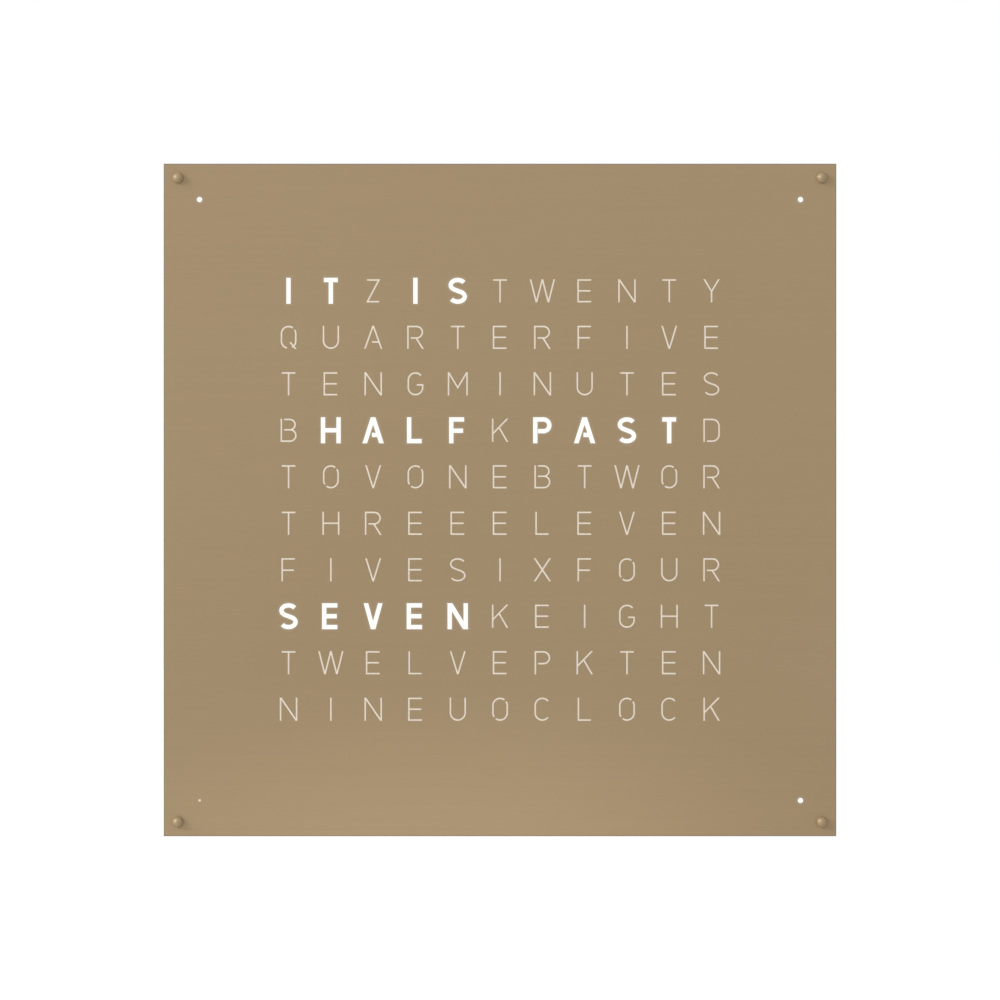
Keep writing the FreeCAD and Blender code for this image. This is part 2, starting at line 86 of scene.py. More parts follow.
# Letters, in millimetres: half the height of their centre lines, and the widths of the strokes
cap = 7.25
thin_stroke = 1.1
# Lit strokes and lit dots are wider than the cuts of the real letters: the extra width is a painted glow, the
# bloom of light round each lit letter
lit_stroke_with_glow = 2.9
bridge = 1.8
arc_step = 9.0
lit_dot_radius_with_glow = 1.75
inlay_recess = 0.15
inlay_gap = 0.1
halo_steps = (0.35, 0.9, 1.8)
halo_fall = 1.6
halo_share = 0.22
dark_dot_radius = 0.9

# Cover details, in millimetres
edge_chamfer = 0.4
stud_hole_radius = 2.02
stud_head_radius = 3.7
stud_shank_radius = 2.0
stud_tip_chamfer = 0.4
stud_rings = 16
turning_step = 0.11

# Rear screws, in millimetres
screw_head_radius = 2.8
screw_shank_radius = 1.4
screw_head_height = 1.5
screw_edge = 0.12
recess_radius = 0.95
recess_depth = 0.9

# Bronze of the cover, and a painted sheen low on it, a paler patch that stands in for a reflection: middle
# and reach in metres, and its tone
cover_colour = (0.368, 0.268, 0.151)
painted_sheen_middle = (-0.035, 0.0, -0.25)
painted_sheen_reach = (0.34, 1.0, 0.15)
painted_sheen_tone = (1.24, 1.24, 1.24)

# Camera and stage, in metres
sensor_width = 36.0
camera_distance = 3.0
view_width = 0.669
floor_drop = 0.42
floor_half = 14.0
floor_glow = 0.5
key_side = Vector((-0.82, -0.42, 0.40))
key_distance = 6.0
key_power = 200.0
key_size = 2.2

# Strength of the world: away from the key, toward it, and the share that matt surfaces get
world_low, world_high = 0.8, 1.1
matt_share = 0.66


def glowing(row, column):
    """Whether a letter of the grid is lit."""
    return any(r == row and first <= column < first + count for r, first, count in lit_words)


def arc(x, z, across, up, start, end):
    """Points along an arc of an ellipse, in degrees anticlockwise from the right."""
    count = max(2, round(abs(end - start) / arc_step))
    angles = [math.radians(start + (end - start) * i / count) for i in range(count + 1)]
    return [(x + across * math.cos(a), z + up * math.sin(a)) for a in angles]


def round_arc(x, z, radius, start, end):
    """Points along an arc of a circle."""
    return arc(x, z, radius, radius, start, end)


def bowl(right, low, high):
    """The round right side of a letter, from its top down to its bottom."""
    radius = (high - low) / 2
    return round_arc(right - radius, low + radius, radius, 90, -90)


def letter_lines():
    """Each letter's half width and centre lines, with gaps where a bridge holds an inner island."""
    top, low = cap, -cap
    ring = 4.8
    straight = cap - ring
    upper_left = round_arc(0, straight, ring, 52, 180)
    lower_right = round_arc(0, -straight, ring, -62, 0) + round_arc(0, straight, ring, 0, 34)
    rising_c = round_arc(0, straight, ring, 38, 180)
    waist = 0.35
    hook = 3.4
    return {
        "A": (5.6, [[(-5.6, low), (0, top)], [(5.6, low), (0, top)], [(-0.8, -3.1), (4.0, -3.1)]]),
        "B": (
            4.85,
            [
                [(-4.85, top), (-4.85, low)] + bowl(4.85, low, waist)[::-1] + [(-4.85 + bridge, waist)],
                [(-4.85 + bridge, top)] + bowl(4.35, waist, top) + [(0, waist)],
            ],
        ),
        "C": (ring, [rising_c + round_arc(0, -straight, ring, 180, 322)]),
        "D": (
            5.0,
            [
                [(-5.0, low), (-5.0, top)]
                + round_arc(0.6, top - 4.4, 4.4, 90, 0)
                + round_arc(0.6, low + 4.4, 4.4, 0, -90)
                + [(-5.0 + bridge, low)]
            ],
        ),
        "E": (4.4, [[(4.4, top), (-4.4, top), (-4.4, low), (4.4, low)], [(-4.4, 0), (4.0, 0)]]),
        "F": (4.3, [[(4.3, top), (-4.3, top), (-4.3, low)], [(-4.3, -0.3), (3.6, -0.3)]]),
        "G": (ring, [rising_c + round_arc(0, -straight, ring, 180, 360) + [(ring, -0.7), (0.8, -0.7)]]),
        "H": (5.2, [[(-5.2, low), (-5.2, top)], [(5.2, low), (5.2, top)], [(-5.2, 0), (5.1, 0)]]),
        "I": (0, [[(0, low), (0, top)]]),
        "K": (4.95, [[(-4.95, low), (-4.95, top)], [(4.95, top), (-4.95, -2.4)], [(-0.6, 1.8), (4.95, low)]]),
        "L": (4.2, [[(-4.2, top), (-4.2, low), (4.2, low)]]),
        "M": (
            6.2,
            [[(-6.2, low), (-6.2, top)], [(6.2, low), (6.2, top)], [(-6.2, top), (0, -2.6), (6.2, top)]],
        ),
        "N": (5.35, [[(-5.35, low), (-5.35, top)], [(5.35, low), (5.35, top)], [(-5.35, top), (5.35, low)]]),
        "O": (
            ring,
            [
                upper_left + round_arc(0, -straight, ring, 180, 214),
                round_arc(0, -straight, ring, 232, 298)[:-1] + lower_right,
            ],
        ),
        "P": (4.7, [[(-4.7, low), (-4.7, top)] + bowl(4.7, -0.6, top) + [(-4.7 + bridge, -0.6)]]),
        "Q": (
            ring,
            [upper_left + round_arc(0, -straight, ring, 180, 258), lower_right, [(1.0, -3.2), (4.8, low)]],
        ),
        "R": (
            5.05,
            [
                [(-5.05, low), (-5.05, top)] + bowl(4.6, -0.4, top) + [(-5.05 + bridge, -0.4)],
                [(0.4, -0.4), (5.05, low)],
            ],
        ),
        "S": (
            4.7,
            [
                arc(0, cap - hook, 4.7, hook, 30, 242)
                + arc(0, hook - cap, 4.7, hook, 62, -150)
            ],
        ),
        "T": (4.65, [[(-4.65, top), (4.65, top)], [(0, top), (0, low)]]),
        "U": (4.95, [[(-4.95, top)] + round_arc(0, low + 4.95, 4.95, 180, 360) + [(4.95, top)]]),
        "V": (4.8, [[(-4.8, top), (0, low)], [(4.8, top), (0, low)]]),
        "W": (
            7.95,
            [[(-7.95, top), (-4, low)], [(0, top), (-4, low)], [(0, top), (4, low)], [(7.95, top), (4, low)]],
        ),
        "X": (5.2, [[(-5.2, top), (5.2, low)], [(5.2, top), (-5.2, low)]]),
        "Y": (5.0, [[(-5.0, top), (0, -0.4), (5.0, top)], [(0, -0.4), (0, low)]]),
        "Z": (4.15, [[(-4.15, top), (4.15, top)], [(4.15, top), (-4.15, low)], [(-4.15, low), (4.15, low)]]),
    }


def stroke_end(point, direction, half, reach, longer):
    """The left and right corner of a stroke's end. On the letter's box it is cut flat, elsewhere square."""
    x, z = point + direction * longer
    if math.isclose(abs(point.y), cap) and abs(direction.y) > 0.3:
        across = half / abs(direction.y)
        x = point.x
        if reach and math.isclose(abs(x), reach):
            x = math.copysign(reach + half - across, x)
        middle = Vector((x, math.copysign(cap + half, z)))
        side = Vector((-math.copysign(across, direction.y), 0))
        return middle + side, middle - side
    if reach and math.isclose(abs(point.x), reach) and abs(direction.x) > 0.9:
        x = math.copysign(reach + half, x)
    middle = Vector((x, z))
    side = Vector((-direction.y, direction.x)) * half
    return middle + side, middle - side


def stroke_outline(points, width, reach, grow):
    """The closed outline of one stroke grown on every side, with mitred corners, anticlockwise."""
    half = width / 2 + grow
    places = [Vector(p) for p in points]
    runs = [(b - a).normalized() for a, b in zip(places, places[1:])]
    left, right = [], []
    for i, place in enumerate(places):
        before, after = runs[max(i - 1, 0)], runs[min(i, len(runs) - 1)]
        if i in (0, len(places) - 1):
            a, b = stroke_end(place, after, half, reach, grow if i else -grow)
        else:
            middle = (before + after).normalized()
            side = Vector((-middle.y, middle.x)) * (half / max(middle.dot(before), 0.2))
            a, b = place + side, place - side
        left.append(a)
        right.append(b)
    outline = left + right[::-1]
    area = sum(a.cross(b) for a, b in zip(outline, outline[1:] + outline[:1]))
    return outline if area > 0 else outline[::-1]


def circle(x, z, radius, count=32):
    """A circle's points, anticlockwise."""
    angles = [2 * math.pi * i / count for i in range(count)]
    return [Vector((x + radius * math.cos(a), z + radius * math.sin(a))) for a in angles]


def corner_middle(node):
    """The middle of the solid that a node has in the upper right corner."""
    places = [v.co for v in nodes[node].data.vertices if v.co.x > 0 and v.co.z > 0]
    xs, zs = [p.x for p in places], [p.z for p in places]
    return Vector(((min(xs) + max(xs)) / 2, (min(zs) + max(zs)) / 2))


def grid_pitch():
    """The distance between columns and between rows, from the lamps behind the letters."""
    low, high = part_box("row_lamps")
    lamp = 2 * (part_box("minute_lamps")[1].x - corner_middle("minute_lamps").x)
    columns, rows = len(letter_rows[0]), len(letter_rows)
    return (high.x - low.x - lamp) / (columns - 1), (high.z - low.z - lamp) / (rows - 1)


cover_low, cover_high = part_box("front_cover")
face_y, rear_y = cover_low.y, cover_high.y
cover_half = cover_high.x
minute_place = corner_middle("minute_lamps").x
stud_place = corner_middle("cover_studs").x


def letter_outlines(lit, width, grow=0.0):
    """The stroke outlines of the lit or the unlit letters, in metres."""
    pitch_x, pitch_z = grid_pitch()
    lines = letter_lines()
    found = []
    for row, text in enumerate(letter_rows):
        for column, letter in enumerate(text):
            if glowing(row, column) != lit:
                continue
            middle = Vector(
                ((column - (len(text) - 1) / 2) * pitch_x, ((len(letter_rows) - 1) / 2 - row) * pitch_z)
            )
            reach, strokes = lines[letter]
            for points in strokes:
                found.append([middle + p * MM for p in stroke_outline(points, width, reach, grow)])
    return found


def lit_outlines(grow):
    """Outlines of the lit letters and lit dots, grown by a distance in millimetres."""
    letters = letter_outlines(True, lit_stroke_with_glow, grow)
    radius = (lit_dot_radius_with_glow + grow) * MM
    return letters + [circle(sx * minute_place, sz * minute_place, radius) for sx, sz in lit_corners]


def unlit_outlines():
    """Outlines of the unlit letters and of the unlit dot's hole."""
    letters = letter_outlines(False, thin_stroke)
    radius = dark_dot_radius * MM
    dark = [c for c in corners if c not in lit_corners]
    return letters + [circle(sx * minute_place, sz * minute_place, radius) for sx, sz in dark]


def cover_layout():
    """Triangles of the cover's face, sorted into plate, unlit and lit, and the vertices that they use."""
    flat = cover_half - edge_chamfer * MM
    square = [Vector(p) * flat for p in square_ring]
    groups = {
        "plate": [square],
        "hole": [circle(sx * stud_place, sz * stud_place, stud_hole_radius * MM) for sx, sz in corners],
        "unlit": unlit_outlines(),
        "lit": lit_outlines(0),
        "halo": [outline for step in halo_steps for outline in lit_outlines(step)],
    }
    points, faces, kinds = [], [], []
    for kind, outlines in groups.items():
        for outline in outlines:
            faces.append(list(range(len(points), len(points) + len(outline))))
            points.extend(outline)
            kinds.append(kind)
    made = delaunay_2d_cdt(points, [], faces, 1, 1e-7)
    sorted_faces = {"plate": [], "unlit": [], "lit": []}
    for triangle, sources in zip(made[2], made[5]):
        found = {kinds[s] for s in sources}
        kind = next((k for k in ("hole", "lit", "unlit") if k in found), "plate")
        if kind in sorted_faces:
            sorted_faces[kind].append(triangle)
    return made[0], sorted_faces


def outer_edges(triangles):
    """The edges that only one triangle uses, in that triangle's direction."""
    edges = {(t[i], t[(i + 1) % 3]) for t in triangles for i in range(3)}
    return [(a, b) for a, b in edges if (b, a) not in edges]


def slab(name, points, triangles, front, back):
    """A closed mesh of flat triangles between two depths. Seen from the front, they run anticlockwise."""
    used = sorted({i for t in triangles for i in t})
    place = {old: new for new, old in enumerate(used)}
    count = len(used)
    vertices = [(points[i].x, depth, points[i].y) for depth in (front, back) for i in used]
    faces = [[place[i] for i in t] for t in triangles]
    faces += [[count + place[i] for i in reversed(t)] for t in triangles]
    walls = outer_edges(triangles)
    faces += [[place[b], place[a], count + place[a], count + place[b]] for a, b in walls]
    mesh = bpy.data.meshes.new(name)
    mesh.from_pydata(vertices, [], faces)
    return mesh, used


def new_piece(name, mesh, body, material):
    """An object that shows a mesh, rides on a body and takes a slot's finish."""
    mesh.validate()
    mesh.update()
    piece = bpy.data.objects.new(name, mesh)
    bpy.context.scene.collection.objects.link(piece)
    mesh.materials.append(material)
    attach(piece, body)
    return piece


def halo_values(points, used):
    """How bright the glow is at each vertex: 1 at a lit letter's edge, falling to 0."""
    reach = halo_steps[-1] * MM
    starts, ends = [], []
    for outline in lit_outlines(0):
        starts += outline
        ends += outline[1:] + outline[:1]
    starts, ends = np.array(starts), np.array(ends)
    along = ends - starts
    lengths = np.maximum((along**2).sum(1), 1e-12)
    values = []
    for i in used:
        offset = np.array(points[i]) - starts
        share = np.clip((offset * along).sum(1) / lengths, 0, 1)
        nearest = np.sqrt((((offset - along * share[:, None]) ** 2).sum(1)).min())
        values.append(max(0.0, 1 - nearest / reach) ** halo_fall)
    return values


def new_cover():
    """The cover plate with its letters cut through, and the opal inlays that fill them."""
    points, kinds = cover_layout()
    mesh, used = slab("cover_plate", points, kinds["plate"], face_y, rear_y)
    glow = mesh.attributes.new("glow", "FLOAT", "POINT")
    values = halo_values(points, used)
    glow.data.foreach_set("value", values + values)
    plate = new_piece("cover_plate", mesh, "cover", finishes["cover_metal"])
    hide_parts("front_cover")
    # The rim's chamfer is painted dark grey, a painted dark reflection
    new_piece("cover_rim", cover_rim(), "cover", edge_painted_dark_reflection())

    front = face_y + inlay_recess * MM
    back = rear_y - inlay_gap * MM
    for kind, material in (("unlit", opal_filling()), ("lit", lit_filling())):
        mesh = slab(kind + "_letters", points, kinds[kind], front, back)[0]
        new_piece(kind + "_letters", mesh, "cover", material)


def cover_rim():
    """The chamfered rim of the cover, a closed frame round the plate's flat face."""
    chamfer = edge_chamfer * MM
    flat, half = cover_half - chamfer, cover_half
    profile = ((flat, face_y), (half, face_y + chamfer), (half, rear_y), (flat, rear_y))
    vertices = [(sx * reach, depth, sz * reach) for reach, depth in profile for sx, sz in square_ring]
    faces = []
    count = len(profile)
    for level in range(count):
        above = (level + 1) % count
        for side in range(4):
            turn = (side + 1) % 4
            faces.append([4 * level + side, 4 * above + side, 4 * above + turn, 4 * level + turn])
    mesh = bpy.data.meshes.new("cover_rim")
    mesh.from_pydata(vertices, [], faces)
    return mesh


def ring_points(radius, sides, count):
    """Reach and angle of each point round a circle, or round a hexagon when sides is six."""
    angles = [2 * math.pi * i / count for i in range(count)]
    if sides != 6:
        return [(radius, a) for a in angles]
    sector = math.pi / 3
    return [(radius / math.cos(a % sector - sector / 2), a) for a in angles]


def turned(name, rings, place, count):
    """Four closed bodies of stacked rings, one in each corner. A ring has a radius, a depth and its sides."""
    vertices, faces = [], []
    for sx, sz in corners:
        first = len(vertices)
        vertices.append((sx * place, rings[0][1], sz * place))
        for radius, depth, sides in rings:
            for reach, a in ring_points(radius, sides, count):
                vertices.append((sx * place + reach * math.cos(a), depth, sz * place + reach * math.sin(a)))
        vertices.append((sx * place, rings[-1][1], sz * place))
        last = len(vertices) - 1
        for i in range(count):
            j = (i + 1) % count
            faces.append([first, first + 1 + i, first + 1 + j])
            for level in range(len(rings) - 1):
                here = first + 1 + level * count
                faces.append([here + i, here + count + i, here + count + j, here + j])
            end = first + 1 + (len(rings) - 1) * count
            faces.append([end + i, last, end + j])
    mesh = bpy.data.meshes.new(name)
    mesh.from_pydata(vertices, [], faces)
    mesh.shade_smooth()
    mesh.set_sharp_from_angle(angle=math.radians(32))
    return mesh


def new_studs():
    """The four domed studs, smooth from pole to rim, with a short lead-in at the tip."""
    low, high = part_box("cover_studs")
    head, shank = stud_head_radius * MM, stud_shank_radius * MM
    middle_y = low.y + head
    tip = stud_tip_chamfer * MM
    rim_angle = math.asin((face_y - middle_y) / head)
    rings = []
    for i in range(1, stud_rings + 1):
        angle = math.pi / 2 - (math.pi / 2 + rim_angle) * i / stud_rings
        rings.append((head * math.cos(angle), middle_y - head * math.sin(angle), 0))
    rings += [(shank, face_y, 0), (shank, high.y - tip, 0), (shank - tip, high.y, 0)]
    mesh = turned("domed_studs", rings, stud_place, 72)
    studs = new_piece("domed_studs", mesh, "cover", finishes["stud_metal"])
    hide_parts("cover_studs")


def new_rear_screws():
    """The flush screws of the rear panel, with a six-sided recess to turn them by."""
    low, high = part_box("rear_panel_screws")
    head, shank, recess = screw_head_radius * MM, screw_shank_radius * MM, recess_radius * MM
    edge = screw_edge * MM
    rings = [
        (recess, high.y - recess_depth * MM, 6),
        (recess, high.y - edge, 6),
        (recess + edge, high.y, 0),
        (head - edge, high.y, 0),
        (head, high.y - edge / 2, 0),
        (shank, high.y - screw_head_height * MM, 0),
        (shank, low.y, 0),
    ]
    mesh = turned("rear_screws", rings, stud_place, 60)
    # These rings run from the rear forward, so the faces are turned to look outward
    mesh.flip_normals()
    screws = new_piece("rear_screws", mesh, "housing", finishes["screw_steel"])
    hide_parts("rear_panel_screws")


def new_material(name, settings):
    """A material, and its shader with the constants set on the shader's own sockets."""
    material = bpy.data.materials.new(name)
    material.use_nodes = True
    shader = material.node_tree.nodes["Principled BSDF"]
    for socket, value in settings.items():
        shader.inputs[socket].default_value = value
    return material, shader


def noise(material, scale, detail=3.0, roughness=0.55, offset=0.0):
    """A noise over the object, with a scale along each axis in waves to the metre."""
    tree = material.node_tree
    place = tree.nodes.new("ShaderNodeTexCoord")
    stretch = tree.nodes.new("ShaderNodeMapping")
    stretch.inputs["Scale"].default_value = scale
    stretch.inputs["Location"].default_value = (offset, offset, offset)
    texture = tree.nodes.new("ShaderNodeTexNoise")
    texture.inputs["Scale"].default_value = 1.0
    texture.inputs["Detail"].default_value = detail
    texture.inputs["Roughness"].default_value = roughness
    tree.links.new(place.outputs["Object"], stretch.inputs["Vector"])
    tree.links.new(stretch.outputs["Vector"], texture.inputs["Vector"])
    return texture.outputs["Fac"]


def ranged(material, value, low, high, start=0.3, end=0.7):
    """A value stretched to run from low to high."""
    node = material.node_tree.nodes.new("ShaderNodeMapRange")
    material.node_tree.links.new(value, node.inputs["Value"])
    for socket, number in (("From Min", start), ("From Max", end), ("To Min", low), ("To Max", high)):
        node.inputs[socket].default_value = number
    return node.outputs["Result"]


def shades(material, value, dark, light):
    """A colour that runs from dark to light with a value."""
    node = material.node_tree.nodes.new("ShaderNodeMix")
    node.data_type = "RGBA"
    node.inputs["A"].default_value = (*dark, 1)
    node.inputs["B"].default_value = (*light, 1)
    material.node_tree.links.new(value, node.inputs["Factor"])
    return node.outputs["Result"]


def blended(material, value, first, second):
    """Two colour outputs mixed by a value."""
    node = material.node_tree.nodes.new("ShaderNodeMix")
    node.data_type = "RGBA"
    material.node_tree.links.new(value, node.inputs["Factor"])
    material.node_tree.links.new(first, node.inputs["A"])
    material.node_tree.links.new(second, node.inputs["B"])
    return node.outputs["Result"]


def near(material, middle, reach):
    """1 at a place on the object, easing to 0 at a reach along each axis."""
    tree = material.node_tree
    place = tree.nodes.new("ShaderNodeTexCoord")
    offset = tree.nodes.new("ShaderNodeVectorMath")
    offset.operation = "SUBTRACT"
    offset.inputs[1].default_value = middle
    tree.links.new(place.outputs["Object"], offset.inputs[0])
    share = tree.nodes.new("ShaderNodeVectorMath")
    share.operation = "DIVIDE"
    share.inputs[1].default_value = reach
    tree.links.new(offset.outputs["Vector"], share.inputs[0])
    length = tree.nodes.new("ShaderNodeVectorMath")
    length.operation = "LENGTH"
    tree.links.new(share.outputs["Vector"], length.inputs[0])
    ease = tree.nodes.new("ShaderNodeMapRange")
    ease.interpolation_type = "SMOOTHSTEP"
    for socket, number in (("From Min", 0.0), ("From Max", 1.0), ("To Min", 1.0), ("To Max", 0.0)):
        ease.inputs[socket].default_value = number
    tree.links.new(length.outputs["Value"], ease.inputs["Value"])
    return ease.outputs["Result"]


def bumped(material, shader, height, distance, strength=1.0):
    """Gives the shader a bump from a height."""
    node = material.node_tree.nodes.new("ShaderNodeBump")
    node.inputs["Distance"].default_value = distance
    node.inputs["Strength"].default_value = strength
    material.node_tree.links.new(height, node.inputs["Height"])
    material.node_tree.links.new(node.outputs["Normal"], shader.inputs["Normal"])


def scaled(colour, amount):
    """A colour made lighter or darker."""
    return tuple(min(1.0, channel * amount) for channel in colour)


def finish_shader(material, shader, colour, roughness):
    """Links a colour and a roughness to the shader."""
    material.node_tree.links.new(colour, shader.inputs["Base Color"])
    material.node_tree.links.new(roughness, shader.inputs["Roughness"])


def times(material, first, second):
    """The product of two colours."""
    node = material.node_tree.nodes.new("ShaderNodeMix")
    node.data_type = "RGBA"
    node.blend_type = "MULTIPLY"
    node.inputs["Factor"].default_value = 1.0
    material.node_tree.links.new(first, node.inputs["A"])
    material.node_tree.links.new(second, node.inputs["B"])
    return node.outputs["Result"]


def grained(material, colour, grain, spread):
    """A colour that varies with its grain, under soft clouds of a slightly darker tone."""
    cloud = noise(material, (9, 9, 9), 2.0, offset=3.0)
    level = ranged(material, grain, 0, 1)
    tone = shades(material, level, scaled(colour, 1 - spread), scaled(colour, 1 + spread))
    cast = shades(material, ranged(material, cloud, 0, 1), (0.975, 0.975, 0.975), (1, 1, 1))
    return times(material, tone, cast)


def metal(name, colour, roughness, scale, spread=0.06, bump=0.4, anisotropic=0.0):
    """A metal with fine streaks or grain in its colour, its gloss and its surface."""
    material, shader = new_material(name, {"Metallic": 1.0, "Anisotropic": anisotropic})
    grain = noise(material, scale)
    rough = ranged(material, grain, roughness * 0.88, roughness * 1.12)
    finish_shader(material, shader, grained(material, colour, grain, spread), rough)
    bumped(material, shader, grain, bump * MICRON)
    return material


def plastic(name, colour, roughness, size, spread=0.06, bump=20.0, coat=0.0):
    """A moulded plastic or rubber with a fine texture. Size is its grain in millimetres."""
    material, shader = new_material(name, {"Coat Weight": coat, "Coat Roughness": 0.2})
    waves = 1 / (size * MM)
    grain = noise(material, (waves, waves, waves), 2.0)
    rough = ranged(material, grain, roughness * 0.9, min(1.0, roughness * 1.1))
    finish_shader(material, shader, grained(material, colour, grain, spread), rough)
    bumped(material, shader, grain, bump * MICRON)
    return material


def circuit(name, colour, line_colour):
    """A circuit board: glossy mask over fine level and upright tracks."""
    material, shader = new_material(name, {"Coat Weight": 0.4, "Coat Roughness": 0.15})
    tree = material.node_tree
    place = tree.nodes.new("ShaderNodeTexCoord")
    tracks = tree.nodes.new("ShaderNodeTexBrick")
    turn = tree.nodes.new("ShaderNodeMapping")
    turn.inputs["Rotation"].default_value = (math.radians(90), 0, 0)
    tree.links.new(place.outputs["Object"], turn.inputs["Vector"])
    tree.links.new(turn.outputs["Vector"], tracks.inputs["Vector"])
    sizes = (("Scale", 180.0), ("Mortar Size", 0.03), ("Mortar Smooth", 0.6), ("Brick Width", 1.7))
    for socket, value in sizes:
        tracks.inputs[socket].default_value = value
    cloud = noise(material, (60, 60, 60), 3.0)
    mask = shades(material, cloud, scaled(colour, 0.94), scaled(colour, 1.06))
    lines = shades(material, cloud, scaled(line_colour, 0.94), scaled(line_colour, 1.06))
    tree.links.new(blended(material, tracks.outputs["Fac"], mask, lines), shader.inputs["Base Color"])
    tree.links.new(ranged(material, cloud, 0.3, 0.42), shader.inputs["Roughness"])
    bumped(material, shader, tracks.outputs["Fac"], 0.02 * MM, 0.4)
    return material


def plate_bronze():
    """Level-brushed bronze with a satin finish, lighter where a lit letter glows on it, and paler low down
    with a painted sheen.
    """
    material, shader = new_material("plate_bronze", {"Metallic": 0.45, "Anisotropic": 0.4})
    colour = cover_colour
    fine = noise(material, (7, 60, 1500), 2.0)
    broad = noise(material, (4, 60, 420), 3.0, offset=7.0)
    cloud = noise(material, (5, 5, 7), 1.5, offset=2.0)
    tone = shades(material, ranged(material, fine, 0, 1), scaled(colour, 0.982), scaled(colour, 1.018))
    band = shades(material, ranged(material, broad, 0, 1), (0.984, 0.982, 0.98), (1, 1, 1))
    cast = shades(material, ranged(material, cloud, 0, 1), (0.985, 0.97, 0.955), (1, 1, 1))
    # Painted sheen: the colour is made paler low on the sheet, a reflection painted into it
    painted_sheen = shades(material, near(material, painted_sheen_middle, painted_sheen_reach), (1, 1, 1), painted_sheen_tone)
    metal_colour = times(material, times(material, times(material, tone, band), cast), painted_sheen)
    glow = material.node_tree.nodes.new("ShaderNodeAttribute")
    glow.attribute_name = "glow"
    light = shades(material, fine, (0.62, 0.6, 0.56), (0.66, 0.63, 0.58))
    share = ranged(material, glow.outputs["Fac"], 0, halo_share, 0, 1)
    rough = ranged(material, fine, 0.35, 0.42)
    finish_shader(material, shader, blended(material, share, metal_colour, light), rough)
    bumped(material, shader, fine, 0.6 * MICRON)
    tangent = material.node_tree.nodes.new("ShaderNodeTangent")
    tangent.direction_type = "RADIAL"
    tangent.axis = "Z"
    material.node_tree.links.new(tangent.outputs["Tangent"], shader.inputs["Tangent"])
    return material


def edge_painted_dark_reflection():
    """The cut and broken edge of the sheet: duller than its face, and dark grey as a painted reflection of
    the dark surroundings that the chamfer faces.
    """
    return metal("edge_painted_dark_reflection", (0.15, 0.145, 0.14), 0.45, (900, 60, 900), 0.1)


def turned_bronze():
    """Bronze with the faint rings of turning about each stud's middle."""
    material, shader = new_material("turned_bronze", {"Metallic": 0.25})
    tree = material.node_tree
    place = tree.nodes.new("ShaderNodeTexCoord")
    fold = tree.nodes.new("ShaderNodeVectorMath")
    fold.operation = "ABSOLUTE"
    tree.links.new(place.outputs["Object"], fold.inputs[0])
    shift = tree.nodes.new("ShaderNodeVectorMath")
    shift.operation = "SUBTRACT"
    shift.inputs[1].default_value = (stud_place, 0, stud_place)
    tree.links.new(fold.outputs["Vector"], shift.inputs[0])
    flatten = tree.nodes.new("ShaderNodeVectorMath")
    flatten.operation = "MULTIPLY"
    flatten.inputs[1].default_value = (1, 0, 1)
    tree.links.new(shift.outputs["Vector"], flatten.inputs[0])
    reach = tree.nodes.new("ShaderNodeVectorMath")
    reach.operation = "LENGTH"
    tree.links.new(flatten.outputs["Vector"], reach.inputs[0])
    rings = tree.nodes.new("ShaderNodeMath")
    rings.operation = "PINGPONG"
    rings.inputs[1].default_value = turning_step * MM
    tree.links.new(reach.outputs["Value"], rings.inputs[0])
    line = ranged(material, rings.outputs["Value"], 0, 1, 0, turning_step * MM)
    cloud = noise(material, (400, 400, 400), 2.0)
    tone = shades(material, line, scaled(cover_colour, 1.02), scaled(cover_colour, 1.1))
    cast = shades(material, cloud, (0.96, 0.96, 0.96), (1, 1, 1))
    finish_shader(material, shader, times(material, tone, cast), ranged(material, cloud, 0.38, 0.48))
    bumped(material, shader, line, 0.8 * MICRON)
    return material


def opal_filling():
    """The cream opal that fills the unlit letters."""
    return plastic("opal_filling", (0.86, 0.765, 0.64), 0.45, 0.6, 0.02, 3.0)


def lit_filling():
    """The same opal with the lamps behind it on."""
    material, shader = new_material("lit_filling", {"Roughness": 0.4, "Emission Strength": 1.0})
    cloud = noise(material, (90, 90, 90), 2.0)
    light = shades(material, cloud, (0.955, 0.945, 0.9), (0.985, 0.975, 0.93))
    cover = shades(material, cloud, (0.05, 0.048, 0.044), (0.06, 0.057, 0.052))
    material.node_tree.links.new(light, shader.inputs["Emission Color"])
    material.node_tree.links.new(cover, shader.inputs["Base Color"])
    return material


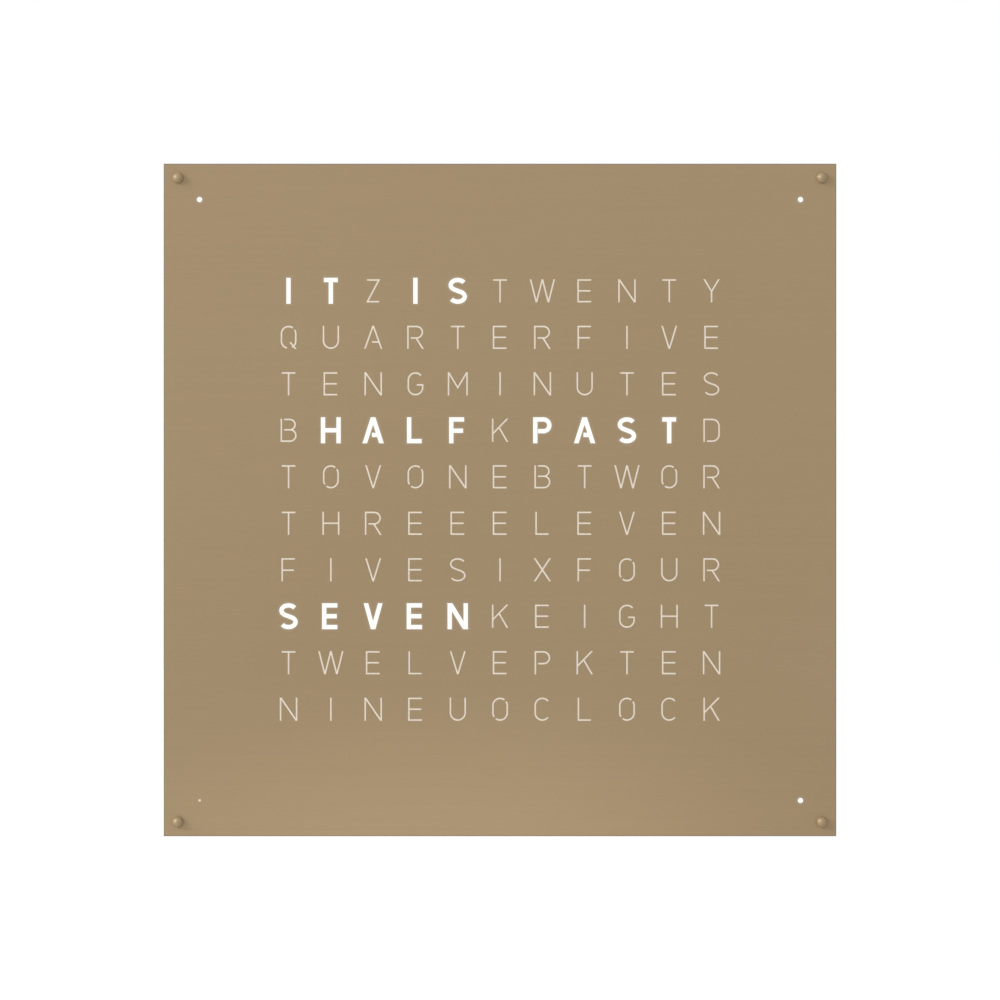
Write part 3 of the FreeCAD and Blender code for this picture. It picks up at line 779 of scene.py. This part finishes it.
def slot_finishes():
    """The material of every slot of the record, apart from the rails' own."""
    return {
        "cover_metal": plate_bronze(),
        "stud_metal": turned_bronze(),
        "brass": metal("brass", (0.62, 0.47, 0.2), 0.3, (300, 300, 300)),
        "magnet": metal("magnet", (0.62, 0.62, 0.62), 0.18, (200, 200, 200), 0.03),
        "black_moulding": plastic("black_moulding", (0.03, 0.03, 0.032), 0.6, 0.5),
        "rear_moulding": plastic("rear_moulding", (0.035, 0.035, 0.037), 0.6, 2.0, 0.3, 120.0),
        "screw_steel": metal("screw_steel", (0.14, 0.14, 0.145), 0.38, (500, 500, 500)),
        "hanger_steel": metal("hanger_steel", (0.56, 0.56, 0.55), 0.36, (60, 60, 900)),
        "chassis_aluminium": metal("chassis_aluminium", (0.7, 0.7, 0.71), 0.4, (900, 60, 40)),
        "opal_sheet": plastic("opal_sheet", (0.86, 0.8, 0.7), 0.35, 2.0, 0.02, 2.0),
        "white_moulding": plastic("white_moulding", (0.8, 0.8, 0.78), 0.5, 1.0, 0.03),
        "lamp_package": plastic("lamp_package", (0.84, 0.8, 0.56), 0.3, 1.5, 0.05, 2.0, 0.3),
        "white_board": circuit("white_board", (0.8, 0.8, 0.78), (0.72, 0.72, 0.69)),
        "green_board": circuit("green_board", (0.02, 0.12, 0.06), (0.03, 0.19, 0.09)),
        "ribbon": plastic("ribbon", (0.42, 0.42, 0.43), 0.5, 0.8),
        "lead_jacket": plastic("lead_jacket", (0.022, 0.022, 0.022), 0.45, 0.7),
        "rubber": plastic("rubber", (0.02, 0.02, 0.02), 0.75, 0.5),
        "inlet_steel": metal("inlet_steel", (0.6, 0.6, 0.6), 0.3, (300, 300, 700)),
        "cell_steel": metal("cell_steel", (0.64, 0.64, 0.63), 0.28, (500, 500, 500)),
        "spacer_nylon": plastic("spacer_nylon", (0.74, 0.73, 0.69), 0.5, 0.6),
        "connector_nylon": plastic("connector_nylon", (0.78, 0.77, 0.72), 0.45, 0.6),
        "chip_plastic": plastic("chip_plastic", (0.022, 0.022, 0.024), 0.5, 0.3),
        "key_plastic": plastic("key_plastic", (0.027, 0.027, 0.029), 0.42, 0.35),
    }


def dress_frame():
    """Gives every CAD node the material of its slot. The rails are brushed along their length."""
    level = metal("frame_level", (0.05, 0.048, 0.047), 0.4, (9, 900, 900), 0.12)
    upright = metal("frame_upright", (0.05, 0.048, 0.047), 0.4, (900, 900, 9), 0.12)
    rails = {"frame_rail_top": level, "frame_rail_bottom": level}
    rails |= {"frame_rail_left": upright, "frame_rail_right": upright}
    slots = {part["node"]: part["material_slot"] for part in frame["record"]["subparts"]}
    for name, piece in nodes.items():
        piece.data.materials.clear()
        piece.data.materials.append(rails.get(name) or finishes[slots[name]])


def new_camera():
    """A long lens straight in front, at the photograph's framing."""
    data = bpy.data.cameras.new("camera")
    data.sensor_width = sensor_width
    data.lens = sensor_width * camera_distance / view_width
    camera = bpy.data.objects.new("camera", data)
    camera.location = (0, face_y - camera_distance, 0)
    camera.rotation_euler = (math.radians(90), 0, 0)
    bpy.context.scene.collection.objects.link(camera)
    bpy.context.scene.camera = camera


def new_light(name, place, power, width, height):
    """A soft rectangular lamp that faces the clock."""
    data = bpy.data.lights.new(name, "AREA")
    data.shape = "RECTANGLE"
    data.size, data.size_y = width, height
    data.energy = power
    lamp = bpy.data.objects.new(name, data)
    lamp.location = place
    lamp.rotation_euler = (-Vector(place)).to_track_quat("-Z", "Y").to_euler()
    bpy.context.scene.collection.objects.link(lamp)


def new_lights():
    """A key light from the left and above, at the slant of the studs' short shadows."""
    new_light("key", key_side * key_distance, key_power, key_size, key_size)


def new_world():
    """White for the camera and soft grey light on the object, a little brighter from the key's side."""
    world = bpy.data.worlds.new("studio")
    bpy.context.scene.world = world
    world.use_nodes = True
    tree = world.node_tree
    background = tree.nodes["Background"]
    background.inputs["Color"].default_value = (1, 1, 1, 1)
    rays = tree.nodes.new("ShaderNodeLightPath")
    place = tree.nodes.new("ShaderNodeTexCoord")
    toward_key = tree.nodes.new("ShaderNodeVectorMath")
    toward_key.operation = "DOT_PRODUCT"
    toward_key.inputs[1].default_value = key_side
    tree.links.new(place.outputs["Generated"], toward_key.inputs[0])
    shade = tree.nodes.new("ShaderNodeMapRange")
    limits = (("From Min", -1.0), ("From Max", 1.0), ("To Min", world_low), ("To Max", world_high))
    for socket, value in limits:
        shade.inputs[socket].default_value = value
    tree.links.new(toward_key.outputs["Value"], shade.inputs["Value"])
    diffuse = tree.nodes.new("ShaderNodeMath")
    diffuse.operation = "MULTIPLY"
    diffuse.inputs[1].default_value = matt_share
    tree.links.new(shade.outputs["Result"], diffuse.inputs[0])
    glossy = tree.nodes.new("ShaderNodeMix")
    tree.links.new(rays.outputs["Is Glossy Ray"], glossy.inputs["Factor"])
    tree.links.new(diffuse.outputs["Value"], glossy.inputs["A"])
    tree.links.new(shade.outputs["Result"], glossy.inputs["B"])
    seen = tree.nodes.new("ShaderNodeMath")
    seen.operation = "MAXIMUM"
    tree.links.new(rays.outputs["Is Camera Ray"], seen.inputs[0])
    tree.links.new(rays.outputs["Is Transmission Ray"], seen.inputs[1])
    strength = tree.nodes.new("ShaderNodeMix")
    strength.inputs["B"].default_value = 1.0
    tree.links.new(seen.outputs["Value"], strength.inputs["Factor"])
    tree.links.new(glossy.outputs["Result"], strength.inputs["A"])
    tree.links.new(strength.outputs["Result"], background.inputs["Strength"])


def new_floor():
    """A plain pale floor below the clock, white where no shadow falls on it."""
    z = cad_low.z - floor_drop
    mesh = bpy.data.meshes.new("floor")
    mesh.from_pydata([(sx * floor_half, sy * floor_half, z) for sx, sy in square_ring], [], [[0, 1, 2, 3]])
    floor = bpy.data.objects.new("floor", mesh)
    bpy.context.scene.collection.objects.link(floor)
    material, shader = new_material("floor", {"Roughness": 0.9, "Specular IOR Level": 0.0})
    rays = material.node_tree.nodes.new("ShaderNodeLightPath")
    cloud = noise(material, (2, 2, 2))
    pale = shades(material, cloud, (0.86, 0.86, 0.86), (0.88, 0.88, 0.88))
    material.node_tree.links.new(pale, shader.inputs["Base Color"])
    shader.inputs["Emission Color"].default_value = (1, 1, 1, 1)
    lift = ranged(material, rays.outputs["Is Camera Ray"], 0, floor_glow, 0, 1)
    material.node_tree.links.new(lift, shader.inputs["Emission Strength"])
    mesh.materials.append(material)


new_camera()
finishes = slot_finishes()
dress_frame()
new_cover()
new_studs()
new_rear_screws()
new_lights()
new_world()
new_floor()
bpy.context.scene.view_settings.view_transform = "Standard"
